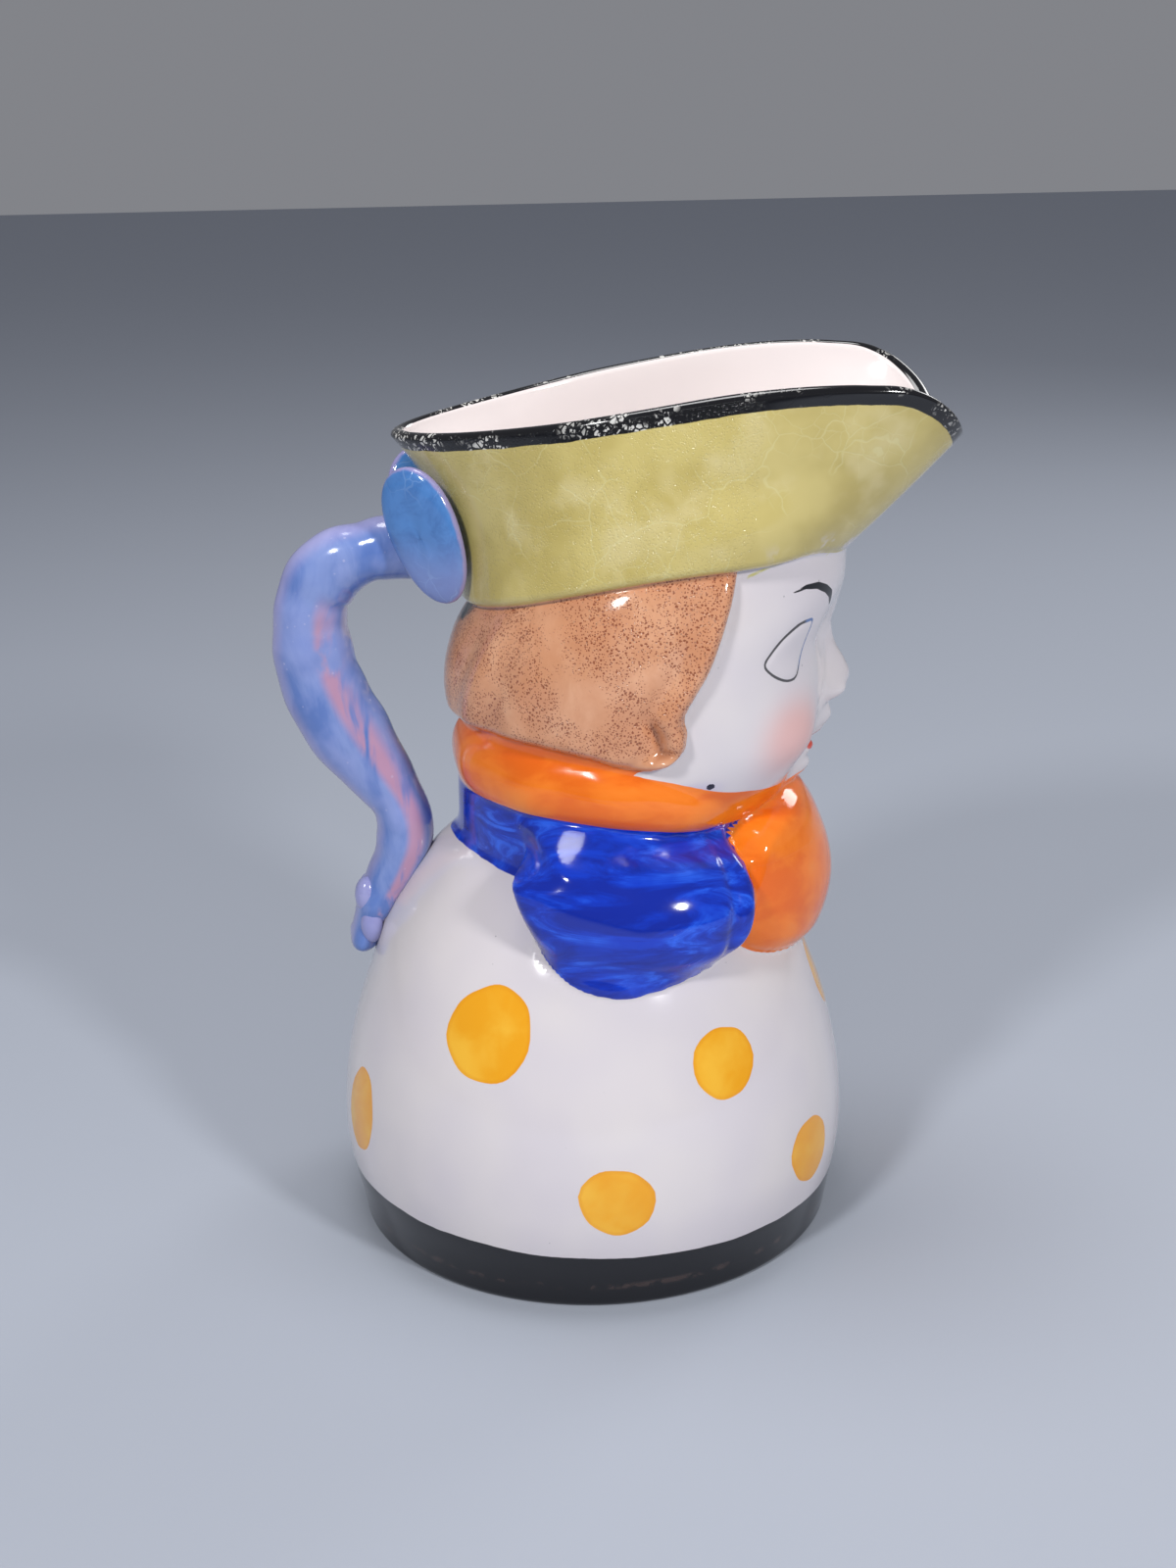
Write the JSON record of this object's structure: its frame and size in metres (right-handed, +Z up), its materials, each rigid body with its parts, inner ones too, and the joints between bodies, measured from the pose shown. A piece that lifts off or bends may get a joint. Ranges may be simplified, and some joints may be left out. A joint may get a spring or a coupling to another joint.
{
  "type": "toby jug",
  "caption": "Glazed earthenware toby jug: doll-like figure with a tall flared hat for a mouth, scarf, folded sleeves, spotted bell-shaped body and a looped handle",
  "frame": {"origin": "centre of the flat underside, where the jug meets the table", "axes": "+Z up; the figure faces -Y and the handle is on +Y; +X across the figure, which is alike on both sides"},
  "size_m": [0.1176, 0.1513, 0.1966],
  "materials": {
    "jug": "gloss"
  },
  "bodies": {
    "root": {"jug": "jug"}
  },
  "joints": []
}
